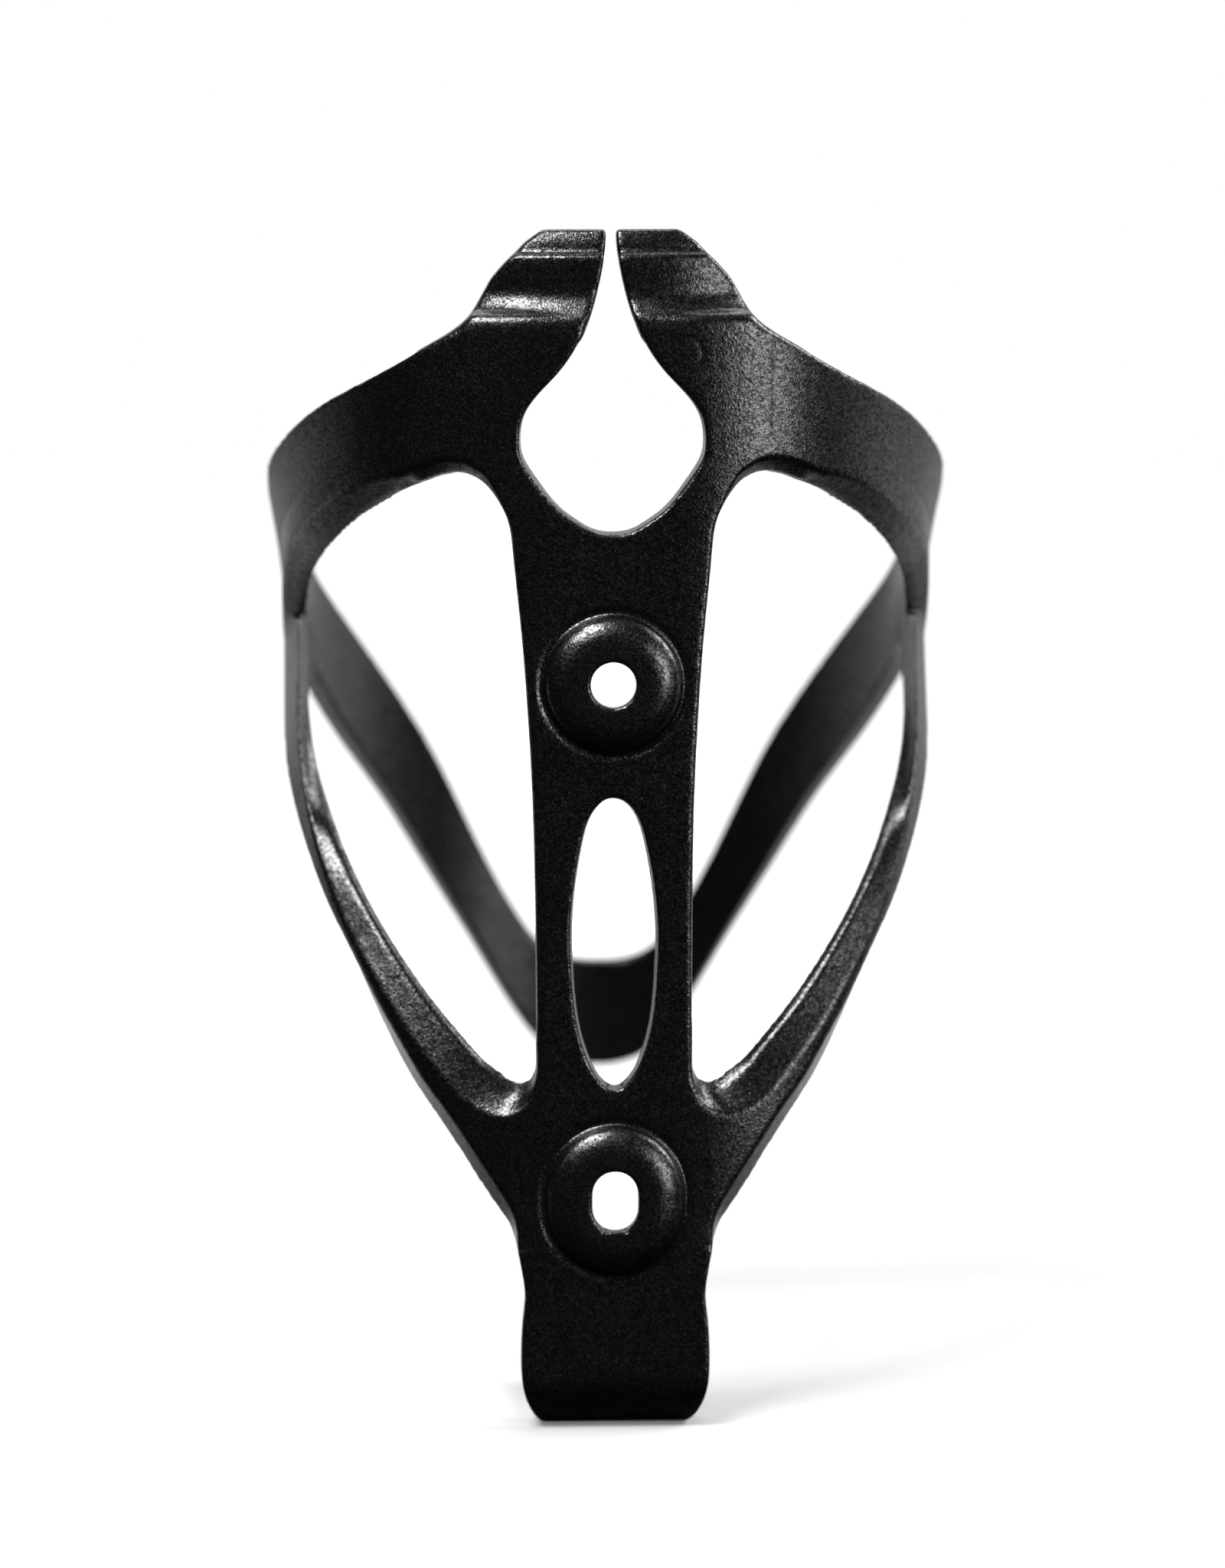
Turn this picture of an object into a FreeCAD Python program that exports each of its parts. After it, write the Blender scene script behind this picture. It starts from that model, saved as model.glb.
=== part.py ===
import FreeCAD, Part
import math
import os

# Water bottle cage, one injection moulding in glass-filled nylon.
# Frame: origin midway between the two frame bolts, on the face that touches the frame tube.
# +X to the right when the two bosses are faced, +Y out towards the bottle, +Z up.  Millimetres.

# ---- driving dimensions -------------------------------------------------------------
HOLE_SPACING = 64.0        # distance between the two frame bolts
HOLE_D = 5.6               # round upper hole for an M5 bolt
SLOT_W = 5.6               # lower slot, width
SLOT_L = 7.5               # lower slot, length
RECESS_D = 12.0            # recess in front of each hole for the bolt head
RECESS_Y = 2.4             # depth of wall left under the bolt head
BOSS_FLAT_R = 4.6          # flat face of a boss
UPPER_BOSS_R = 8.6         # outer radius of the upper boss
LOWER_BOSS_R = 8.75        # the same for the lower boss, which is longer by
LOWER_BOSS_STRETCH = 1.5   # this much
WALL = 3.2                 # wall of the moulding
BACK_Y = 2.0               # rear face of the spine; the bosses stand out to Y = 0
FLAT_HALF = 8.0            # half width of the flat spine, measured at mid wall
CORNER_R = 31.55           # plan radius of the wall beside it, at mid wall
SIDE_Y = 42.3              # where the straight side becomes the front half circle
LOOP_R = FLAT_HALF + CORNER_R
TOP_Z = 87.6               # top of the horns
FOOT_Z = -61.0             # underside of the foot
FOOT_BEND_R = 7.0          # outer radius between the upright part and the shelf
FOOT_END_Y = 36.0          # end of the shelf
HORN_HINGE_Z = 76.0        # height where the horns bend
HORN_SWEEP = 34            # how far the bending line follows the curve of the wall, degrees
FOOT_HINGE_Z = -44.5       # height where the foot tongue bends
TONGUE_TOP_Z = -38.5       # from here down the spine has the straight sides of the foot
LOOP_HINGE = (60.0, 28.6)  # Y and Z of the line about which the front loop bends
LOOP_HINGE_R = 8.0
LOOP_SLOPE = 43.0          # downward slope of the side wall where the loop bends, degrees
LEAN_DEPTH = 8.0           # the arms lean outwards over this depth below their upper edge
KNEE_OFF = -0.2            # where the lower bevel of the arms turns steep, from mid wall
KNEE_HEIGHT = 0.3          # and how far up the bevel that is, as a fraction
NICK_R = 0.35              # nicks in the bottom edges of the oval and of the lower slot
NICK_DEPTH = 1.2
DRAFT = 0.35               # the oval and the teardrop are this much wider at the rear
GAP = 0.05                 # running clearance at the bending lines

MID_Y = BACK_Y + WALL / 2
CORNER_LEN = CORNER_R * math.pi / 2
STRAIGHT_LEN = SIDE_Y - MID_Y - CORNER_R
TOE_S = FLAT_HALF + CORNER_LEN + STRAIGHT_LEN + LOOP_R * math.pi / 2

# Arm and front loop: distance along the wall from the centre line, height of the lower
# edge outside and inside, height of the upper edge, outward lean of the upper edge.
LOOP = [
    (20.0, 57.8, 57.7, 74.6, 0.0),
    (25.3, 57.4, 56.0, 71.9, 0.0),
    (30.7, 56.5, 53.8, 69.3, 0.0),
    (37.2, 53.9, 50.7, 66.6, 0.2),
    (43.6, 50.6, 47.1, 63.6, 0.7),
    (49.6, 46.9, 43.6, 60.4, 1.3),
    (54.6, 42.1, 39.3, 57.5, 1.8),
    (59.4, 37.0, 35.4, 53.8, 1.7),
    (64.6, 34.6, 34.0, 49.8, 1.0),
    (71.8, 31.7, 31.3, 44.2, 0.3),
    (79.8, 26.0, 25.6, 39.0, 0.0),
    (87.8, 18.8, 18.4, 33.2, 0.0),
    (95.8, 10.6, 10.2, 25.6, 0.0),
    (102.8, 0.9, 0.5, 16.8, 0.0),
    (109.8, -9.8, -10.2, 4.4, 0.0),
    (115.8, -19.5, -19.9, -5.7, 0.0),
    (121.2, -25.0, -25.4, -11.2, 0.0),
    (TOE_S, -26.2, -26.6, -12.2, 0.0),
]

# Strut from its root to the arm: height, then distances along the wall of the opening edge
# inside, of the knee with its stand-off, of the opening edge outside with its stand-off,
# and of the rim outside and inside.
STRUT = [
    (38.0, 57.5, 54.5, -0.8, 51.8, 0.0, 65.0, 65.5),
    (32.0, 56.0, 53.5, -0.7, 51.1, 0.1, 62.2, 62.8),
    (26.0, 52.8, 51.1, -0.5, 49.1, 0.7, 58.5, 59.1),
    (20.0, 48.1, 47.7, -0.4, 46.2, 1.2, 53.4, 54.3),
    (15.0, 43.4, 43.4, -0.2, 43.3, 1.6, 48.6, 50.2),
    (11.0, 40.1, 40.2, -0.2, 41.6, 1.6, 45.1, 47.0),
    (7.0, 36.7, 36.8, -0.2, 39.2, 1.6, 41.8, 44.2),
    (3.0, 33.3, 33.4, -0.2, 36.7, 1.6, 38.6, 41.5),
    (-1.0, 29.7, 30.0, -0.2, 33.8, 1.6, 35.2, 38.8),
    (-5.0, 26.1, 26.7, -0.2, 30.6, 1.6, 32.2, 36.3),
    (-9.0, 22.3, 23.2, -0.2, 27.6, 1.6, 29.4, 33.5),
]

# Strut root, turning round the lower tip of the side opening: distance and height of the
# same five points.
TIP = [
    ((18.1, -13.3), (19.0, -13.2), (24.1, -13.3), (26.2, -13.4), (30.0, -14.0)),
    ((16.0, -15.2), (16.9, -15.7), (20.7, -17.1), (23.3, -17.6), (26.7, -18.4)),
    ((14.1, -16.4), (14.7, -17.6), (18.1, -19.8), (20.2, -21.4), (23.0, -22.8)),
    ((13.0, -17.2), (13.2, -18.6), (15.5, -21.2), (16.9, -26.2), (19.1, -27.8)),
    ((11.9, -17.5), (11.9, -18.8), (13.5, -21.6), (13.2, -32.0), (14.9, -33.6)),
    ((11.4, -17.4), (11.3, -18.6), (12.6, -21.3), (12.0, -35.2), (13.1, -36.2)),
    ((10.8, -17.3), (10.7, -18.3), (11.6, -20.8), (11.8, -38.9), (12.0, -39.0)),
    ((10.1, -16.3), (10.0, -17.1), (10.3, -19.0), (8.0, -34.0), (8.0, -34.0)),
    ((9.8, -14.7), (9.7, -15.1), (9.5, -15.7), (6.0, -22.0), (6.1, -22.0)),
    ((9.6, -10.0), (9.6, -10.0), (9.6, -10.0), (6.0, -10.0), (6.1, -10.0)),
]

# Horn from inside its round root upwards: height, how far the rear and front faces have
# moved out from those of the wall below, and how much the blade cups round the bottle, as Y
# over X squared.
HORN = [
    (75.4, 0.2, -0.2, 0.0),
    (76.6, 0.0, 0.0, 0.003),
    (77.4, 0.5, 0.3, 0.005),
    (78.3, 1.0, 0.7, 0.006),
    (79.2, 1.35, 1.15, 0.007),
    (80.2, 1.5, 1.6, 0.0075),
    (82.0, 1.45, 2.1, 0.0075),
    (83.6, 1.45, 2.6, 0.0075),
    (84.5, 1.55, 2.8, 0.0075),
    (84.8, 2.3, 2.9, 0.0075),
    (85.4, 2.3, 3.0, 0.0075),
    (86.2, 2.5, 2.9, 0.0075),
    (TOP_Z, 3.0, 2.2, 0.0075),
]


def vec(x, y, z):
    return FreeCAD.Vector(x, y, z)


def wall_point(s, off):
    """Plan position at distance s along the mid wall, stepped off outwards by off."""
    side = 1.0 if s >= 0 else -1.0
    d = abs(s)
    if d <= FLAT_HALF:
        return side * d, MID_Y - off
    if d <= FLAT_HALF + CORNER_LEN:
        a = (d - FLAT_HALF) / CORNER_R
        x = FLAT_HALF + (CORNER_R + off) * math.sin(a)
        y = MID_Y + CORNER_R - (CORNER_R + off) * math.cos(a)
        return side * x, y
    if d <= FLAT_HALF + CORNER_LEN + STRAIGHT_LEN:
        y = MID_Y + CORNER_R + d - FLAT_HALF - CORNER_LEN
        return side * (LOOP_R + off), y
    a = (d - FLAT_HALF - CORNER_LEN - STRAIGHT_LEN) / LOOP_R
    x = (LOOP_R + off) * math.cos(a)
    y = SIDE_Y + (LOOP_R + off) * math.sin(a)
    return side * x, y


def closed_wire(points):
    return Part.makePolygon(points + [points[0]])


def curve(points):
    c = Part.BSplineCurve()
    c.interpolate(points)
    return c.toShape()


def mirror_x(shape):
    return shape.mirror(vec(0, 0, 0), vec(1, 0, 0))


def outline_prism(half, y0, y1):
    """Solid of constant outline seen from behind; half lists X, Z of the right half."""
    right = [vec(x, y0, z) for x, z in half]
    left = [vec(-x, y0, z) for x, z in reversed(half)]
    edges = [curve(right), curve(left)]
    edges.append(Part.makeLine(left[-1], right[0]))
    edges.append(Part.makeLine(right[-1], left[0]))
    return Part.Face(Part.Wire(Part.__sortEdges__(edges))).extrude(vec(0, y1 - y0, 0))


def hole_wire(half, y, closed):
    """Outline, round at the bottom, and at the top too when closed."""
    left = [vec(-x, y, z) for x, z in reversed(half[1:])]
    if closed:
        left = left[1:]
    points = left + [vec(x, y, z) for x, z in half]
    c = Part.BSplineCurve()
    c.interpolate(Points=points, PeriodicFlag=closed)
    edges = [c.toShape()]
    if not closed:
        edges.append(Part.makeLine(points[-1], points[0]))
    return Part.Wire(edges)


def rounded_hole(half, y0, y1, closed):
    """Hole that narrows from the rear face, Y = BACK_Y, to the front face of the wall."""
    middle = half[-1][1] if not closed else (half[0][1] + half[-1][1]) / 2
    reach = middle - half[0][1]
    widest = max(x for x, z in half)
    rows = []
    for y in (y0, y1):
        grow = DRAFT * (BACK_Y + WALL - y) / WALL
        wide = 1 + grow / widest
        tall = 1 + grow / reach
        rows.append(hole_wire([(x * wide, middle + (z - middle) * tall) for x, z in half], y, closed))
    return Part.makeLoft(rows, True, True)


def cylinder_y(r, x, z, y0, y1):
    return Part.makeCylinder(r, y1 - y0, vec(x, y0, z), vec(0, 1, 0))


def cylinder_x(r, y, z, x0, x1):
    return Part.makeCylinder(r, x1 - x0, vec(x0, y, z), vec(1, 0, 0))


def stadium_y(width, length, z, y0, y1):
    """Upright slot shape along Y, centred at height z."""
    half = (length - width) / 2
    a = cylinder_y(width / 2, 0, z + half, y0, y1)
    b = cylinder_y(width / 2, 0, z - half, y0, y1)
    box = Part.makeBox(width, y1 - y0, 2 * half, vec(-width / 2, y0, z - half))
    return a.fuse([b, box]).removeSplitter()


def back_sheet(z0, z1, reach):
    """The curved rear wall, out to the distance reach on both sides."""
    rows = []
    for off in (WALL / 2, -WALL / 2):
        p0 = wall_point(-reach, off)
        p1 = wall_point(-(reach + FLAT_HALF) / 2, off)
        p2 = wall_point(-FLAT_HALF, off)
        p3 = wall_point(FLAT_HALF, off)
        p4 = wall_point((reach + FLAT_HALF) / 2, off)
        p5 = wall_point(reach, off)
        rows.append([vec(p[0], p[1], z0) for p in (p0, p1, p2, p3, p4, p5)])
    edges = []
    for row in rows:
        edges.append(Part.Arc(row[0], row[1], row[2]).toShape())
        edges.append(Part.makeLine(row[2], row[3]))
        edges.append(Part.Arc(row[3], row[4], row[5]).toShape())
    edges.append(Part.makeLine(rows[0][0], rows[1][0]))
    edges.append(Part.makeLine(rows[0][5], rows[1][5]))
    wire = Part.Wire(Part.__sortEdges__(edges))
    return Part.Face(wire).extrude(vec(0, 0, z1 - z0))


def spine_outline():
    """Right half of the rear view: root, side opening edge, and arm root with neck."""
    root = [(11.6, -39.0), (10.8, -36.0), (8.0, -23.0), (8.0, -14.0), (9.6, -10.0)]
    edge = [(9.6, -10.0), (9.6, -8.0), (9.7, 5.0), (10.0, 18.8)]
    edge += [(10.6, 30.0), (11.3, 39.0), (12.2, 48.0), (12.85, 52.2), (13.95, 54.5)]
    edge += [(15.75, 56.7), (18.4, 57.9), (21.2, 57.5), (24.0, 56.4)]
    top = [(24.0, 72.6), (22.0, 73.8), (20.3, 74.8), (18.6, 76.0), (17.3, 77.3)]
    return root, edge, top


def spine_prism():
    root, edge, top = spine_outline()
    edges = []
    for sign in (1, -1):
        for a, b in zip(root, root[1:]):
            edges.append(Part.makeLine(vec(sign * a[0], -1, a[1]), vec(sign * b[0], -1, b[1])))
        for run in (edge, top):
            edges.append(curve([vec(sign * x, -1, z) for x, z in run]))
        edges.append(Part.makeLine(vec(sign * 24.0, -1, 56.4), vec(sign * 24.0, -1, 72.6)))
    edges.append(Part.makeLine(vec(-11.6, -1, -39.0), vec(11.6, -1, -39.0)))
    edges.append(Part.makeLine(vec(-17.3, -1, 77.3), vec(17.3, -1, 77.3)))
    wire = Part.Wire(Part.__sortEdges__(edges))
    return Part.Face(wire).extrude(vec(0, 14, 0))


def loop_solid():
    """Both arms and the front loop as one ribbon round the bottle."""
    left = [(2 * TOE_S - row[0], *row[1:]) for row in reversed(LOOP[:-1])]
    wires = [loop_section(*row) for row in LOOP + left]
    return Part.makeLoft(wires, True, False)


def loop_section(s, low_out, low_in, high, lean):
    """Section of arm and loop; beyond TOE_S it is the mirror image of the right side."""
    pts = []
    half = WALL / 2
    bend = high - LEAN_DEPTH
    knee = low_in + KNEE_HEIGHT * (low_out - low_in)
    corners = [(half, low_out), (half, bend), (half + lean, high)]
    corners += [(-half + lean, high), (-half, bend), (-half, low_in), (KNEE_OFF, knee)]
    for off, z in corners:
        if s > TOE_S:
            x, y = wall_point(2 * TOE_S - s, off)
            x = -x
        else:
            x, y = wall_point(s, off)
        pts.append(vec(x, y, z))
    return closed_wire(pts)


def strut_rows():
    """The five corners of the strut's section, row by row from the arm to the spine."""
    half = WALL / 2
    rows = []
    for z, edge_in, knee, knee_off, edge_out, edge_off, rim_out, rim_in in STRUT:
        places = [(edge_in, -half), (knee, knee_off), (edge_out, edge_off), (rim_out, half)]
        places.append((rim_in, -half))
        rows.append([(*wall_point(s, off), z) for s, off in places])
    offs = (-half, KNEE_OFF, half, half, -half)
    for places in TIP:
        rows.append([(*wall_point(s, off), z) for (s, z), off in zip(places, offs)])
    return [[vec(*p) for p in row] for row in rows]


def strut_solid():
    """The strut with the plate that carries it round the tip of the opening, right side."""
    rows = strut_rows()
    stations = [0.0]
    for a, b in zip(rows, rows[1:]):
        steps = [p.distanceToPoint(q) for p, q in zip(a, b)]
        stations.append(stations[-1] + sum(steps) / len(steps))
    rails = []
    for corner in zip(*rows):
        c = Part.BSplineCurve()
        c.interpolate(Points=list(corner), Parameters=stations)
        rails.append(c.toShape())
    faces = [Part.Face(closed_wire(rows[0])), Part.Face(closed_wire(rows[-1]))]
    for a, b in zip(rails, rails[1:] + rails[:1]):
        faces.append(Part.makeRuledSurface(a, b))
    shell = Part.makeShell(faces)
    shell.sewShape()
    return Part.makeSolid(shell)


def boss_profile(radius):
    """Half section of a domed boss, turned about its own Y axis."""
    flat = BOSS_FLAT_R
    p0 = vec(0, 0, 0)
    p1 = vec(flat, 0, 0)
    p2 = vec((flat + radius) / 2 + 0.5, 0.55, 0)
    p3 = vec(radius, 1.7, 0)
    p4 = vec(radius, 3.0, 0)
    p5 = vec(0, 3.0, 0)
    edges = [Part.makeLine(p0, p1), Part.Arc(p1, p2, p3).toShape()]
    edges += [Part.makeLine(p3, p4), Part.makeLine(p4, p5), Part.makeLine(p5, p0)]
    return Part.Face(Part.Wire(edges))


def upper_boss():
    turned = boss_profile(UPPER_BOSS_R).revolve(vec(0, 0, 0), vec(0, 1, 0), 360)
    turned.translate(vec(0, 0, HOLE_SPACING / 2))
    return turned


def lower_boss():
    stretch = LOWER_BOSS_STRETCH
    top = boss_profile(LOWER_BOSS_R).revolve(vec(0, 0, 0), vec(0, 1, 0), 360)
    bottom = top.copy()
    top.translate(vec(0, 0, -HOLE_SPACING / 2 + stretch / 2))
    bottom.translate(vec(0, 0, -HOLE_SPACING / 2 - stretch / 2))
    face = boss_profile(LOWER_BOSS_R)
    other = face.mirror(vec(0, 0, 0), vec(1, 0, 0))
    z0 = -HOLE_SPACING / 2 - stretch / 2
    face.translate(vec(0, 0, z0))
    other.translate(vec(0, 0, z0))
    middle = face.extrude(vec(0, 0, stretch)).fuse(other.extrude(vec(0, 0, stretch)))
    return top.fuse([bottom, middle])


def oval_slot():
    half = [(0.0, -18.0), (1.4, -17.2), (2.8, -15.0), (4.2, -10.5), (4.9, -4.0), (5.05, 0.8)]
    half += [(4.8, 5.3), (3.75, 12.0), (2.6, 15.6), (1.4, 17.1), (0.0, 17.6)]
    return rounded_hole(half, 0, 10, True)


def teardrop():
    half = [(0.0, 50.7), (1.9, 50.9), (4.5, 52.3), (6.0, 53.4), (9.4, 57.6), (10.9, 60.1)]
    half += [(11.15, 62.0), (10.8, 64.6), (9.5, 66.9), (6.5, 70.2), (3.6, 74.7), (2.0, 79.2)]
    half += [(1.2, 82.6), (0.8, 85.0), (0.65, 90.0)]
    return rounded_hole(half, 0, 14, False)


def gate_notches():
    """Two pairs of tiny nicks in the rear bottom edges of the oval and of the lower slot."""
    slot_bottom = -HOLE_SPACING / 2 - SLOT_L / 2
    cuts = []
    for x, z, face in ((0.9, -17.9, BACK_Y), (1.25, slot_bottom + 0.2, 0.0)):
        cuts.append(cylinder_y(NICK_R, x, z, -1, face + NICK_DEPTH))
        cuts.append(cylinder_y(NICK_R, -x, z, -1, face + NICK_DEPTH))
    return cuts


def face_line(off, shift, cup, z):
    """One face of the blade at height z, from the centre line out to the right."""
    points = []
    for s in (0.0, 4.0, FLAT_HALF, 11.0, 14.0, 18.0, 22.0, 26.0):
        x, y = wall_point(s, off)
        points.append(vec(x, y + shift + cup * x * x, z))
    return curve(points)


def horn_blade():
    wires = []
    for z, rear, front, cup in HORN:
        a = face_line(WALL / 2, rear, cup, z)
        b = face_line(-WALL / 2, front, cup, z)
        start = Part.makeLine(a.valueAt(a.FirstParameter), b.valueAt(b.FirstParameter))
        end = Part.makeLine(a.valueAt(a.LastParameter), b.valueAt(b.LastParameter))
        wires.append(Part.Wire(Part.__sortEdges__([a, end, b, start])))
    return Part.makeLoft(wires, True, True)


def knuckle(radius):
    """Rod along the middle of the wall at the height where the horns bend, right side."""
    rod = cylinder_x(radius, MID_Y, HORN_HINGE_Z, 0.0, FLAT_HALF)
    circle = Part.makeCircle(radius, vec(FLAT_HALF, MID_Y, HORN_HINGE_Z), vec(1, 0, 0))
    centre = vec(FLAT_HALF, MID_Y + CORNER_R, HORN_HINGE_Z)
    bend = Part.Face(Part.Wire(circle)).revolve(centre, vec(0, 0, 1), HORN_SWEEP)
    return rod.fuse(bend)


def horn_outline():
    half = [(0.0, 70.0), (24.0, 70.0), (24.0, 72.6), (22.0, 73.8), (20.3, 74.8), (18.6, 76.0)]
    half += [(17.5, 77.0), (16.7, 78.1), (15.4, 80.4), (14.8, 81.5), (13.9, 82.6), (12.8, 83.8)]
    half += [(11.6, 84.9), (10.6, 86.0), (9.1, 87.1), (8.3, TOP_Z), (0.0, TOP_Z)]
    wire = closed_wire([vec(x, -4, z) for x, z in half])
    return Part.Face(wire).extrude(vec(0, 18, 0))


def horn(side):
    """One spring horn; its round lower end rolls in the spine's groove."""
    body = horn_blade().fuse(knuckle(WALL / 2)).common(horn_outline())
    body = body.cut(teardrop())
    body = body.removeSplitter()
    return body if side > 0 else mirror_x(body)


def foot_profile():
    """Section of the foot tongue, from the bend round to the shelf, as Y and Z."""
    y0 = BACK_Y
    y1 = BACK_Y + WALL
    z0 = FOOT_Z
    z1 = FOOT_Z + WALL
    r = FOOT_BEND_R
    a = vec(0, y0, FOOT_HINGE_Z)
    b = vec(0, y0, z0 + r)
    c = vec(0, y0 + r - r * math.cos(math.pi / 4), z0 + r - r * math.sin(math.pi / 4))
    d = vec(0, y0 + r, z0)
    e = vec(0, FOOT_END_Y - 5.0, z0)
    f = vec(0, FOOT_END_Y, z0 + 2.4)
    g = vec(0, FOOT_END_Y - 1.0, z0 + 5.0)
    h = vec(0, FOOT_END_Y - 6.0, z1)
    i = vec(0, y0 + r, z1)
    q = r - WALL
    j = vec(0, y0 + r - q * math.cos(math.pi / 4), z0 + r - q * math.sin(math.pi / 4))
    k = vec(0, y1, z0 + r)
    m = vec(0, y1, FOOT_HINGE_Z)
    edges = [Part.makeLine(a, b), Part.Arc(b, c, d).toShape(), Part.makeLine(d, e)]
    edges += [Part.makeLine(e, f), Part.makeLine(f, g), Part.makeLine(g, h)]
    edges += [Part.makeLine(h, i), Part.Arc(i, j, k).toShape(), Part.makeLine(k, m)]
    edges += [Part.makeLine(m, a)]
    return Part.Face(Part.Wire(edges))


def foot():
    """The foot: its round upper end rolls in the groove below the spine."""
    solid = foot_profile().extrude(vec(30, 0, 0))
    solid.translate(vec(-15, 0, 0))
    solid = solid.fuse(cylinder_x(WALL / 2, MID_Y, FOOT_HINGE_Z, -15, 15))
    rear = outline_prism(foot_outline(), -1, 12)
    half = [(8.6, 9.0), (9.2, 16.0), (9.9, 24.0), (9.7, 30.0), (8.2, 36.5)]
    plan = half + [(-x, y) for x, y in reversed(half)]
    wire = closed_wire([vec(x, y, FOOT_Z - 1) for x, y in plan])
    shelf = Part.Face(wire).extrude(vec(0, 0, 20))
    return solid.common(rear.fuse(shelf)).removeSplitter()


def foot_outline():
    """Right half of the foot seen from behind, from the floor up to the waist."""
    half = [(8.8, -61.3), (9.8, -59.9), (11.1, -57.2), (11.65, -54.2), (11.7, -51.0)]
    half += [(11.4, -46.6), (11.2, -44.3), (11.4, -42.1), (11.8, -39.8), (12.3, -37.6)]
    return half + [(13.0, -35.8)]


def tongue():
    """The part of the spine between the base flare and the bend of the foot."""
    slab = Part.makeBox(30, WALL, TONGUE_TOP_Z - FOOT_HINGE_Z, vec(-15, BACK_Y, FOOT_HINGE_Z))
    return slab.common(outline_prism(foot_outline(), -1, 12))


def hinge_cutters():
    """Clearance taken out of the moulding where horns, foot and loop bend."""
    horn_groove = knuckle(WALL / 2 + GAP)
    above = Part.makeBox(60, 16, 20, vec(-30, -4, HORN_HINGE_Z - 0.35))
    foot_groove = cylinder_x(WALL / 2 + GAP, MID_Y, FOOT_HINGE_Z, -20, 20)
    below = Part.makeBox(40, 16, 20, vec(-20, -4, FOOT_HINGE_Z - 19.65))
    return [horn_groove, mirror_x(horn_groove), above, foot_groove, below]


def loop_cutter(clear):
    """Round end of the front loop plus everything ahead of it."""
    y, z = LOOP_HINGE
    drum = cylinder_x(LOOP_HINGE_R + clear, y, z, -60, 60)
    ahead = Part.makeBox(120, 90, 160, vec(-60, y, z - 80))
    ahead.rotate(vec(0, y, z), vec(1, 0, 0), -LOOP_SLOPE)
    return drum.fuse(ahead)


def cage_body():
    sheet = back_sheet(-39, 78, 30.0).common(spine_prism())
    strut = strut_solid()
    ribbon = loop_solid().cut(loop_cutter(GAP))
    body = sheet.fuse([strut, mirror_x(strut), ribbon, tongue()])
    body = body.fuse([upper_boss(), lower_boss()])
    upper_z = HOLE_SPACING / 2
    cuts = [teardrop(), oval_slot(), cylinder_y(HOLE_D / 2, 0, upper_z, -1, 12)]
    cuts.append(stadium_y(SLOT_W, SLOT_L, -upper_z, -1, 12))
    cuts.append(cylinder_y(RECESS_D / 2, 0, upper_z, RECESS_Y, 12))
    cuts.append(stadium_y(RECESS_D, RECESS_D + SLOT_L - SLOT_W, -upper_z, RECESS_Y, 12))
    cuts += gate_notches()
    return body.cut(cuts + hinge_cutters()).removeSplitter()


def front_loop():
    return loop_solid().common(loop_cutter(0.0))


os.makedirs("parts", exist_ok=True)

shape = cage_body()
shape.exportStep("parts/cage_body.step")

shape = horn(-1)
shape.exportStep("parts/left_horn.step")

shape = horn(1)
shape.exportStep("parts/right_horn.step")

shape = front_loop()
shape.exportStep("parts/front_loop.step")

shape = foot()
shape.exportStep("parts/foot.step")
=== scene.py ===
import math

import bmesh
import bpy
import numpy as np
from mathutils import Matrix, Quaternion, Vector


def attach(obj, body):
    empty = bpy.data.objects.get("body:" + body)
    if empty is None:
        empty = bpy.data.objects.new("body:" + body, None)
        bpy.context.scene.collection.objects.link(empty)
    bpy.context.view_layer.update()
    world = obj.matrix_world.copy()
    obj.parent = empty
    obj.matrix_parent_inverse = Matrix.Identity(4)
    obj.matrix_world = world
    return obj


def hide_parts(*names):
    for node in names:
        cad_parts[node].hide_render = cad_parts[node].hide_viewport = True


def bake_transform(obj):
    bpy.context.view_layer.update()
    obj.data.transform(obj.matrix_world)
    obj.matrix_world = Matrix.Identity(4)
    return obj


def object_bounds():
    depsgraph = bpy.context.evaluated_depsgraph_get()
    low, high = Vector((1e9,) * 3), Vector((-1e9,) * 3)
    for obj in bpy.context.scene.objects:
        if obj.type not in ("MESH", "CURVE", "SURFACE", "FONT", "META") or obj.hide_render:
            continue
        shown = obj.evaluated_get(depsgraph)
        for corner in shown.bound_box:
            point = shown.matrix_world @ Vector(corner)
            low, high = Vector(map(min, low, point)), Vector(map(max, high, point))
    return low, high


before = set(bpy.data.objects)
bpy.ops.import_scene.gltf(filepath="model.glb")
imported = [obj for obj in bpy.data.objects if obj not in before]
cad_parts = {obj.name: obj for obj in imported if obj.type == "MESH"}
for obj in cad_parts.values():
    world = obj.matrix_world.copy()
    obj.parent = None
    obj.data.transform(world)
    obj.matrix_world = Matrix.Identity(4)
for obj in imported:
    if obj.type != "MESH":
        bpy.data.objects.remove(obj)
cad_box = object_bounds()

# A bottle cage, moulded in one shot from black nylon, seen from the side that is bolted to
# the bicycle. The CAD nodes are joined, rounded like a moulding and cut apart again near
# the lines where the moulding bends.

MM = 0.001

# ---- the moulding, in millimetres --------------------------------------------------
VOXEL = 0.25                # grid of the moulded surface
SMOOTH_PASSES = 9           # rounds every edge to a moulded radius of about half a millimetre
RELAX_STEP = 0.5            # part of the way to the neighbours' mean in each pass
BEND_FILL = {"left_horn": -0.4, "right_horn": -0.4, "foot": 0.4}   # up or down, closes a gap

LOOP_CUT_Y = 52.0           # ahead of this the wall belongs to the front band
HORN_CUT_Z = 71.0           # above this the wall belongs to the horns
FOOT_CUT_Z = -39.0          # below this it is the foot tongue
LOOP_BEND = ((0.0, 55.0, 33.3), (0.0, 65.0, 23.9))      # where each bend starts and ends
HORN_BEND = ((0.0, 0.0, 73.5), (0.0, 0.0, 78.5))
FOOT_BEND = ((0.0, 0.0, -41.0), (0.0, 0.0, -48.0))

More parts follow.
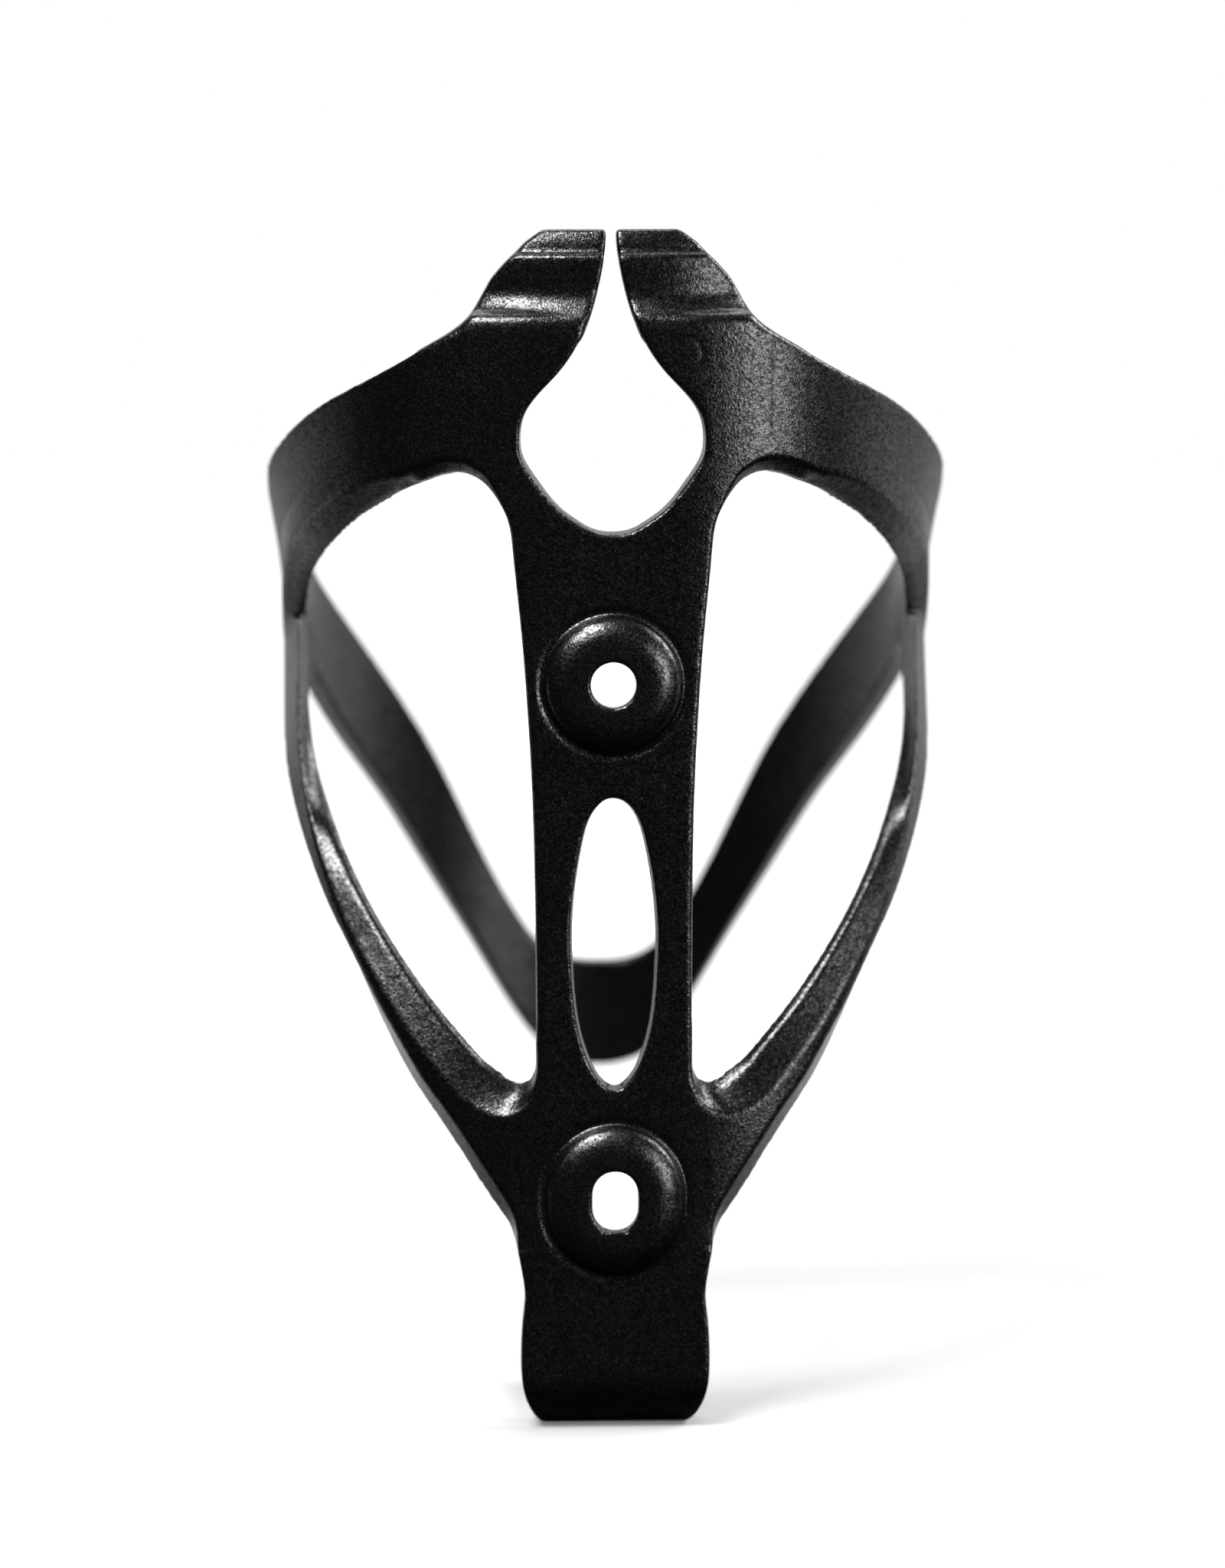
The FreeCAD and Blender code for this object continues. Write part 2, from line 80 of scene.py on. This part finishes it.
# ---- lower bevel at the arm roots, mirrored left and right -------------------------
ROOT_X = (14.0, 16.0, 18.0, 20.0, 22.0, 24.0, 25.5)      # along these places it has
ROOT_LOW = (54.5, 56.9, 57.8, 57.8, 57.3, 56.5, 55.9)    # the edge of the opening
ROOT_TOP = (54.6, 57.8, 59.2, 59.6, 59.4, 58.6, 57.7)    # and the bevel's top on the rear face
ROOT_BEVEL = 1.9            # how far the bevel's lower edge lies ahead of the rear face
ROOT_Z = (52.0, 62.0)       # the bevel changes nothing outside these heights
ROOT_FRONT_Y = 10.0         # nor ahead of this
WALL_REAR_Y = 2.0           # rear face of the spine's wall, flat out to
WALL_FLAT_X = 8.0           # this far from the middle, and then a parabola
WALL_CURVE = 64.0           # with this divisor
WALL_DEPTH = 3.2            # from the rear face to the front face
LEAST_HEIGHT = 0.01         # keeps a division away from zero

# ---- joins that are smoothed over --------------------------------------------------
HEAL_PASSES = 30
HORN_JOIN_Z = 75.9
HORN_JOIN_WIDTH = 1.0
HORN_JOIN_FRONT_Y = 8.0     # the join is smoothed only behind this
ARM_JOIN_WIDTHS = (2.0, 2.5)
ARM_JOIN_FRONT_Y = 12.0

# ---- fine marks on the rear face ---------------------------------------------------
HOLE_Z = 32.0               # the two bosses sit this far above and below the origin
BOSS_R = 8.6                # radius of a boss dome
LOWER_BOSS_STRETCH = 0.75   # the lower boss is drawn out by this much up and down
PLATE_FRONT_Y = 4.5         # ring grooves and pin circles lie behind this
GROOVE_GAP = 0.2            # from the boss to the middle of the ring groove round it
GROOVE_DEPTH = 0.36
GROOVE_WIDTH = 0.5
PIN_CIRCLES = ((9.1, 72.5, 2.0), (22.3, 71.3, 2.0), (-4.9, 19.2, 1.7), (4.9, 19.2, 1.7))
PIN_DEPTH = 0.06
LINE_WIDTH = 0.25
MOULD_LINES = (             # x, lowest z, highest z, foremost y, depth
    (19.9, 63.0, 74.0, 6.0, 0.05),
    (0.0, -56.0, -42.0, 3.0, -0.03),    # this one stands up from the face
)
REAR_FACING = (0.5, 0.3)    # marks fade in from this share of facing the rear, over this much

# ---- black nylon -------------------------------------------------------------------
GRAIN_SCALE = 4300.0        # spark-eroded grain, per metre
CELL_SCALE = 3600.0         # its facets, each with its own glint
CLOUD_SCALE = 120.0         # slow drift of the gloss
CELL_HEIGHT = 0.5           # height of the facets next to the grain
GRAIN_HEIGHT = 0.000042     # in metres
BUMP_STRENGTH = 0.75
POLISHED_BUMP = -0.25       # change of it on the polished bosses
POLISH_RIMS = (0.4, 0.5)    # soft rims of the polished discs, upper and lower
LOWER_POLISH_EXTRA = 0.4    # the lower disc is larger than the boss dome by this
ROUGHNESS = 0.24
POLISHED_ROUGHNESS = 0.02
CLOUD_ROUGHNESS = 0.08      # changes of the roughness by the drift and by the grain
GRAIN_ROUGHNESS = 0.55
TONES = ((0.35, (0.0012, 0.0012, 0.0013)), (0.75, (0.0030, 0.0030, 0.0032)))
GLINT = (0.12, 0.95)        # weakest and strongest specular level of a facet
NYLON_IOR = 1.5

# ---- studio, in metres and degrees -------------------------------------------------
PAPER_HALF = 1.6            # half side of the sheet of paper
PAPER_TONE = 0.46
PAPER_TONE_DRIFT = 0.01
PAPER_FIBRES = 900.0        # fibres per metre
PAPER_ROUGHNESS = 0.9
PAPER_SPECULAR = 0.1
PAPER_DARK_Y = 0.00         # it is black in reflections up to here,
PAPER_WHITE_Y = 0.12        # and white from here on
GLOW_START = (0.12, 0.45)   # distances between which its glow for the camera rises
GLOW_END = (0.15, 0.90)     # from the first of these strengths to the second
BRIGHT_SIDE = (0.40, 0.90, 0.15)        # direction of the bright half of the studio
BRIGHT_RAMP = (-0.1, 0.6)   # how far a direction points there: dark up to, bright from
STUDIO_LIGHT = (0.012, 0.9)
AIM = (0, 0, 0.02)          # the lights point here
SOFTBOXES = (               # name, azimuth, elevation, distance, size, power in watts
    ("key_left", -34, 50, 0.9, (0.38, 0.40), 14.0),
    ("window_right", 42, 6, 0.9, (0.34, 0.50), 4.2),
    ("side_right", 95, 36, 0.9, (0.50, 0.50), 8.0),
    ("top", 0, 115, 0.8, (0.60, 0.60), 2.5),
)
LOOK_AT = (0, 0, 0.0199)
CAMERA_DISTANCE = 0.900
CAMERA_PITCH = 6.0
CAMERA_YAW = -1.6
CAMERA_ROLL = -0.2
LENS = 168.5                # focal length and sensor width in millimetres
SENSOR = 36.0
SHIFT_X = -0.001
F_STOP = 8.0


def metres(point):
    return tuple(c * MM for c in point)


def bump(distance, width):
    """Bell curve: 1 at distance 0, almost nothing beyond twice the width."""
    return np.exp(-((distance / width) ** 2))


# ---- the moulding's mesh -----------------------------------------------------------
def joined_cad():
    """One mesh of all CAD nodes; second copies moved by BEND_FILL close the running gaps."""
    bm = bmesh.new()
    for name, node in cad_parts.items():
        bm.from_mesh(node.data)
        if name in BEND_FILL:
            old = set(bm.verts)
            bm.from_mesh(node.data)
            moved = [v for v in bm.verts if v not in old]
            bmesh.ops.translate(bm, verts=moved, vec=(0, 0, BEND_FILL[name] * MM))
    mesh = bpy.data.meshes.new("moulding_source")
    bm.to_mesh(mesh)
    bm.free()
    obj = bpy.data.objects.new("moulding_source", mesh)
    bpy.context.scene.collection.objects.link(obj)
    return obj


def remeshed(obj):
    """The same shape on an even grid, with the bending lines healed over."""
    mod = obj.modifiers.new("grid", "REMESH")
    mod.mode = "VOXEL"
    mod.voxel_size = VOXEL * MM
    mod.use_smooth_shade = True
    deps = bpy.context.evaluated_depsgraph_get()
    mesh = bpy.data.meshes.new_from_object(obj.evaluated_get(deps))
    bpy.data.objects.remove(obj)
    return mesh


def get_coords(mesh):
    co = np.empty(len(mesh.vertices) * 3)
    mesh.vertices.foreach_get("co", co)
    return co.reshape(-1, 3)


def get_normals(mesh):
    no = np.empty(len(mesh.vertices) * 3)
    mesh.vertex_normals.foreach_get("vector", no)
    return no.reshape(-1, 3)


def set_coords(mesh, co):
    mesh.vertices.foreach_set("co", co.ravel())
    mesh.update()


def relax(mesh, passes, share=1.0):
    """Takes the grid's steps out and rounds the edges; share limits it, vertex by vertex."""
    edges = np.empty(len(mesh.edges) * 2, dtype=np.int64)
    mesh.edges.foreach_get("vertices", edges)
    a, b = edges.reshape(-1, 2).T
    co = get_coords(mesh)
    count = len(co)
    degree = np.bincount(a, minlength=count) + np.bincount(b, minlength=count)
    for _ in range(passes):
        total = np.empty_like(co)
        for k in range(3):
            total[:, k] = np.bincount(a, co[b, k], count) + np.bincount(b, co[a, k], count)
        co = co + RELAX_STEP * share * (total / degree[:, None] - co)
    set_coords(mesh, co)


def bevel_arm_roots(mesh):
    """Starts the lower bevel of each arm softly at the crown of the side opening."""
    co = get_coords(mesh) / MM
    x, y, z = np.abs(co[:, 0]), co[:, 1], co[:, 2]
    wall_y = WALL_REAR_Y + np.maximum(x - WALL_FLAT_X, 0) ** 2 / WALL_CURVE
    edge = np.interp(x, ROOT_X, ROOT_LOW)
    top = np.interp(x, ROOT_X, ROOT_TOP)
    down = np.clip((top - z) / (top - edge + LEAST_HEIGHT), 0, 1)
    rearward = np.clip(1 - (y - wall_y) / WALL_DEPTH, 0, 1)
    nearby = (x > ROOT_X[0]) * (x < ROOT_X[-1]) * (z > ROOT_Z[0]) * (z < ROOT_Z[1])
    nearby = nearby * (y < ROOT_FRONT_Y)
    co[:, 1] = y + ROOT_BEVEL * down * rearward * nearby
    set_coords(mesh, co * MM)


def heal_joins(mesh):
    """Smooths the rear face where the horns bend and where each arm leaves the spine."""
    x, y, z = get_coords(mesh).T / MM
    width_x, width_z = ARM_JOIN_WIDTHS
    horns = bump(z - HORN_JOIN_Z, HORN_JOIN_WIDTH) * (y < HORN_JOIN_FRONT_Y)
    arms = bump(np.abs(x) - ROOT_X[-1], width_x) * bump(z - ROOT_LOW[-1], width_z)
    arms = arms * (y < ARM_JOIN_FRONT_Y)
    relax(mesh, HEAL_PASSES, np.maximum(horns, arms)[:, None])


def engrave(mesh):
    """Grooves round the bosses, ejector pin circles and mould lines, on the rear face."""
    co = get_coords(mesh) / MM
    no = get_normals(mesh)
    x, y, z = co.T
    fade_start, fade = REAR_FACING
    rear = np.clip((-no[:, 1] - fade_start) / fade, 0, 1)
    depth = np.zeros(len(co))
    near_plate = (y < PLATE_FRONT_Y)
    stretched = np.maximum(np.abs(z + HOLE_Z) - LOWER_BOSS_STRETCH, 0)
    for dz in (z - HOLE_Z, stretched):
        radius = np.hypot(x, dz)
        depth += GROOVE_DEPTH * bump(radius - (BOSS_R + GROOVE_GAP), GROOVE_WIDTH) * near_plate
    for cx, cz, r in PIN_CIRCLES:
        radius = np.hypot(x - cx, z - cz)
        depth += PIN_DEPTH * bump(radius - r, LINE_WIDTH) * near_plate
    for line_x, low, high, front_y, line_depth in MOULD_LINES:
        line = bump(x - line_x, LINE_WIDTH) * (z > low) * (z < high) * (y < front_y)
        depth += line_depth * line
    co = co - no * (depth * rear)[:, None]
    set_coords(mesh, co * MM)


def cut_apart(mesh, point, normal):
    """Splits a closed mesh at a plane into two closed meshes: behind it and ahead of it."""
    parts = []
    for outer in (True, False):
        bm = bmesh.new()
        bm.from_mesh(mesh)
        geom = bm.verts[:] + bm.edges[:] + bm.faces[:]
        bmesh.ops.bisect_plane(bm, geom=geom, plane_co=metres(point), plane_no=normal,
                               clear_outer=outer, clear_inner=not outer)
        rim = [e for e in bm.edges if e.is_boundary]
        caps = bmesh.ops.holes_fill(bm, edges=rim, sides=0)["faces"]
        for face in caps:
            face.smooth = False
            for edge in face.edges:
                edge.smooth = False
        bmesh.ops.triangulate(bm, faces=caps)
        part = bpy.data.meshes.new(mesh.name)
        bm.to_mesh(part)
        bm.free()
        parts.append(part)
    return parts


def piece(name, mesh, node, material):
    """Makes the visible piece that stands for a CAD node."""
    mesh.name = name
    obj = bpy.data.objects.new(name, mesh)
    bpy.context.scene.collection.objects.link(obj)
    mesh.materials.clear()
    mesh.materials.append(material)
    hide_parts(node)
    return obj


# ---- materials ---------------------------------------------------------------------
def new_node(tree, kind, **inputs):
    node = tree.nodes.new(kind)
    for key, value in inputs.items():
        node.inputs[key.replace("_", " ")].default_value = value
    return node


def math_node(tree, operation, *values):
    """A math node on numbers or sockets; returns its output."""
    node = tree.nodes.new("ShaderNodeMath")
    node.operation = operation
    for i, value in enumerate(values):
        if isinstance(value, (int, float)):
            node.inputs[i].default_value = value
        else:
            tree.links.new(value, node.inputs[i])
    return node.outputs[0]


def vector_node(tree, operation, vector, second=None):
    """A vector math node on a socket and, if given, a constant vector."""
    node = tree.nodes.new("ShaderNodeVectorMath")
    node.operation = operation
    tree.links.new(vector, node.inputs[0])
    if second is not None:
        node.inputs[1].default_value = second
    return node


def ramp_node(tree, value, start, end, low=0.0, high=1.0):
    """Straight ramp from low at start to high at end, level outside."""
    node = tree.nodes.new("ShaderNodeMapRange")
    settings = {"From Min": start, "From Max": end, "To Min": low, "To Max": high}
    for key, number in settings.items():
        node.inputs[key].default_value = number
    tree.links.new(value, node.inputs["Value"])
    return node.outputs[0]


def tone_node(tree, value, stops):
    """Colour between two stops, each a position and a colour."""
    node = tree.nodes.new("ShaderNodeValToRGB")
    for element, (position, colour) in zip(node.color_ramp.elements, stops):
        element.position = position
        element.color = (*colour, 1)
    tree.links.new(value, node.inputs["Fac"])
    return node.outputs["Color"]


def disc_mask(tree, coords, centre, radius, soft):
    """1 inside a disc seen along Y round centre, fading to 0 across its rim."""
    offset = vector_node(tree, "SUBTRACT", coords, metres(centre))
    flat = vector_node(tree, "MULTIPLY", offset.outputs[0], (1, 0, 1))
    length = vector_node(tree, "LENGTH", flat.outputs[0]).outputs["Value"]
    return ramp_node(tree, length, (radius - soft) * MM, (radius + soft) * MM, 1.0, 0.0)


def nylon_material():
    """Black glass-filled nylon with a spark-eroded grain and smoother, polished bosses."""
    mat = bpy.data.materials.new("black_nylon")
    mat.use_nodes = True
    tree = mat.node_tree
    link = tree.links.new
    shader = tree.nodes["Principled BSDF"]
    coords = tree.nodes.new("ShaderNodeTexCoord").outputs["Object"]
    upper_rim, lower_rim = POLISH_RIMS
    lower_radius = BOSS_R + LOWER_POLISH_EXTRA
    upper = disc_mask(tree, coords, (0, 0, HOLE_Z), BOSS_R, upper_rim)
    lower = disc_mask(tree, coords, (0, 0, -HOLE_Z), lower_radius, lower_rim)
    polished = math_node(tree, "MAXIMUM", upper, lower)

    grain = new_node(tree, "ShaderNodeTexNoise", Scale=GRAIN_SCALE, Detail=2.0, Roughness=0.6)
    cells = new_node(tree, "ShaderNodeTexVoronoi", Scale=CELL_SCALE)
    cloud = new_node(tree, "ShaderNodeTexNoise", Scale=CLOUD_SCALE, Detail=3.0)
    for texture in (grain, cells, cloud):
        link(coords, texture.inputs["Vector"])

    facets = math_node(tree, "MULTIPLY", cells.outputs["Distance"], CELL_HEIGHT)
    height = math_node(tree, "ADD", grain.outputs["Fac"], facets)
    bumps = new_node(tree, "ShaderNodeBump", Distance=GRAIN_HEIGHT)
    strength = math_node(tree, "MULTIPLY_ADD", polished, POLISHED_BUMP, BUMP_STRENGTH)
    link(strength, bumps.inputs["Strength"])
    link(height, bumps.inputs["Height"])
    link(bumps.outputs["Normal"], shader.inputs["Normal"])

    rough = math_node(tree, "MULTIPLY_ADD", polished, POLISHED_ROUGHNESS, ROUGHNESS)
    for texture, amount in ((cloud, CLOUD_ROUGHNESS), (grain, GRAIN_ROUGHNESS)):
        centred = math_node(tree, "SUBTRACT", texture.outputs["Fac"], 0.5)
        rough = math_node(tree, "MULTIPLY_ADD", centred, amount, rough)
    link(rough, shader.inputs["Roughness"])

    link(tone_node(tree, grain.outputs["Fac"], TONES), shader.inputs["Base Color"])
    facet = tree.nodes.new("ShaderNodeSeparateColor")
    link(cells.outputs["Color"], facet.inputs[0])
    glint = ramp_node(tree, facet.outputs[0], 0.0, 1.0, *GLINT)
    link(glint, shader.inputs["Specular IOR Level"])
    shader.inputs["IOR"].default_value = NYLON_IOR
    return mat


def paper_material():
    """White paper; in front of the object it looks dark in reflections, like a black table."""
    mat = bpy.data.materials.new("white_paper")
    mat.use_nodes = True
    tree = mat.node_tree
    link = tree.links.new
    shader = tree.nodes["Principled BSDF"]
    shader.inputs["Roughness"].default_value = PAPER_ROUGHNESS
    shader.inputs["Specular IOR Level"].default_value = PAPER_SPECULAR
    place = tree.nodes.new("ShaderNodeTexCoord").outputs["Object"]
    fibres = new_node(tree, "ShaderNodeTexNoise", Scale=PAPER_FIBRES, Detail=2.0)
    link(place, fibres.inputs["Vector"])
    dark, light = PAPER_TONE - PAPER_TONE_DRIFT, PAPER_TONE + PAPER_TONE_DRIFT
    tone = tone_node(tree, fibres.outputs["Fac"], ((0.0, (dark,) * 3), (1.0, (light,) * 3)))

    seen = tree.nodes.new("ShaderNodeLightPath").outputs["Is Camera Ray"]
    split = tree.nodes.new("ShaderNodeSeparateXYZ")
    link(place, split.inputs[0])
    behind = ramp_node(tree, split.outputs["Y"], PAPER_DARK_Y, PAPER_WHITE_Y)
    colour = vector_node(tree, "SCALE", tone)
    link(math_node(tree, "MAXIMUM", seen, behind), colour.inputs["Scale"])
    link(colour.outputs[0], shader.inputs["Base Color"])

    distance = vector_node(tree, "LENGTH", place).outputs["Value"]
    glow = ramp_node(tree, distance, *GLOW_START, *GLOW_END)
    shader.inputs["Emission Color"].default_value = (1, 1, 1, 1)
    link(math_node(tree, "MULTIPLY", seen, glow), shader.inputs["Emission Strength"])
    return mat


# ---- studio ------------------------------------------------------------------------
def paper(floor_z):
    """Large sheet of white paper that the cage stands on."""
    bm = bmesh.new()
    corners = ((-PAPER_HALF, -PAPER_HALF), (PAPER_HALF, -PAPER_HALF),
               (PAPER_HALF, PAPER_HALF), (-PAPER_HALF, PAPER_HALF))
    bm.faces.new([bm.verts.new((x, y, 0)) for x, y in corners])
    mesh = bpy.data.meshes.new("paper")
    bm.to_mesh(mesh)
    bm.free()
    obj = bpy.data.objects.new("paper", mesh)
    obj.location.z = floor_z
    bpy.context.scene.collection.objects.link(obj)
    mesh.materials.append(paper_material())


def softbox(name, azimuth, elevation, distance, size, power):
    """Rectangular light aimed at the object; azimuth 0 is the camera's side, positive to the right."""
    a, e = math.radians(azimuth), math.radians(elevation)
    away = Vector((math.sin(a) * math.cos(e), -math.cos(a) * math.cos(e), math.sin(e)))
    light = bpy.data.lights.new(name, "AREA")
    light.shape = "RECTANGLE"
    light.size, light.size_y = size
    light.energy = power
    obj = bpy.data.objects.new(name, light)
    obj.location = Vector(AIM) + away * distance
    obj.rotation_euler = (-away).to_track_quat("-Z", "Y").to_euler()
    bpy.context.scene.collection.objects.link(obj)


def world_light():
    """White to the camera; it lights the object from behind and the right, hardly from the front."""
    world = bpy.data.worlds.new("studio")
    bpy.context.scene.world = world
    world.use_nodes = True
    tree = world.node_tree
    link = tree.links.new
    background = tree.nodes["Background"]
    direction = tree.nodes.new("ShaderNodeTexCoord").outputs["Generated"]
    side = vector_node(tree, "DOT_PRODUCT", direction, BRIGHT_SIDE).outputs["Value"]
    studio = ramp_node(tree, side, *BRIGHT_RAMP, *STUDIO_LIGHT)
    seen = tree.nodes.new("ShaderNodeLightPath").outputs["Is Camera Ray"]
    link(math_node(tree, "MAXIMUM", studio, seen), background.inputs["Strength"])
    background.inputs["Color"].default_value = (1, 1, 1, 1)


def camera():
    """Long lens, a little above the object and about a degree and a half to its left."""
    look_at = Vector(LOOK_AT)
    pitch, yaw = math.radians(CAMERA_PITCH), math.radians(CAMERA_YAW)
    away = Vector((math.cos(pitch) * math.sin(yaw), -math.cos(pitch) * math.cos(yaw), math.sin(pitch)))
    focus = bpy.data.objects.new("focus", None)
    focus.location = look_at
    bpy.context.scene.collection.objects.link(focus)
    data = bpy.data.cameras.new("camera")
    data.lens = LENS
    data.sensor_width = SENSOR
    data.shift_x = SHIFT_X
    data.dof.use_dof = True
    data.dof.focus_object = focus
    data.dof.aperture_fstop = F_STOP
    obj = bpy.data.objects.new("camera", data)
    obj.location = look_at + away * CAMERA_DISTANCE
    roll = Quaternion((0, 0, 1), math.radians(CAMERA_ROLL))
    obj.rotation_euler = ((-away).to_track_quat("-Z", "Y") @ roll).to_euler()
    bpy.context.scene.collection.objects.link(obj)
    bpy.context.scene.camera = obj


# ---- build -------------------------------------------------------------------------
moulding = remeshed(joined_cad())
bevel_arm_roots(moulding)
relax(moulding, SMOOTH_PASSES)
heal_joins(moulding)
engrave(moulding)

main, loop = cut_apart(moulding, (0, LOOP_CUT_Y, 0), (0, 1, 0))
main, top = cut_apart(main, (0, 0, HORN_CUT_Z), (0, 0, 1))
left, right = cut_apart(top, (0, 0, 0), (1, 0, 0))
foot, main = cut_apart(main, (0, 0, FOOT_CUT_Z), (0, 0, 1))

nylon = nylon_material()
body = piece("cage_moulding", main, "cage_body", nylon)
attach(body, "cage")
for name, mesh, node, bend in (
    ("left_horn_tab", left, "left_horn", HORN_BEND),
    ("right_horn_tab", right, "right_horn", HORN_BEND),
    ("front_band", loop, "front_loop", LOOP_BEND),
    ("foot_tongue", foot, "foot", FOOT_BEND),
):
    obj = piece(name, mesh, node, nylon)
    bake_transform(obj)

paper(cad_box[0][2])
world_light()
for box in SOFTBOXES:
    softbox(*box)
camera()
bpy.context.scene.view_settings.view_transform = "Standard"
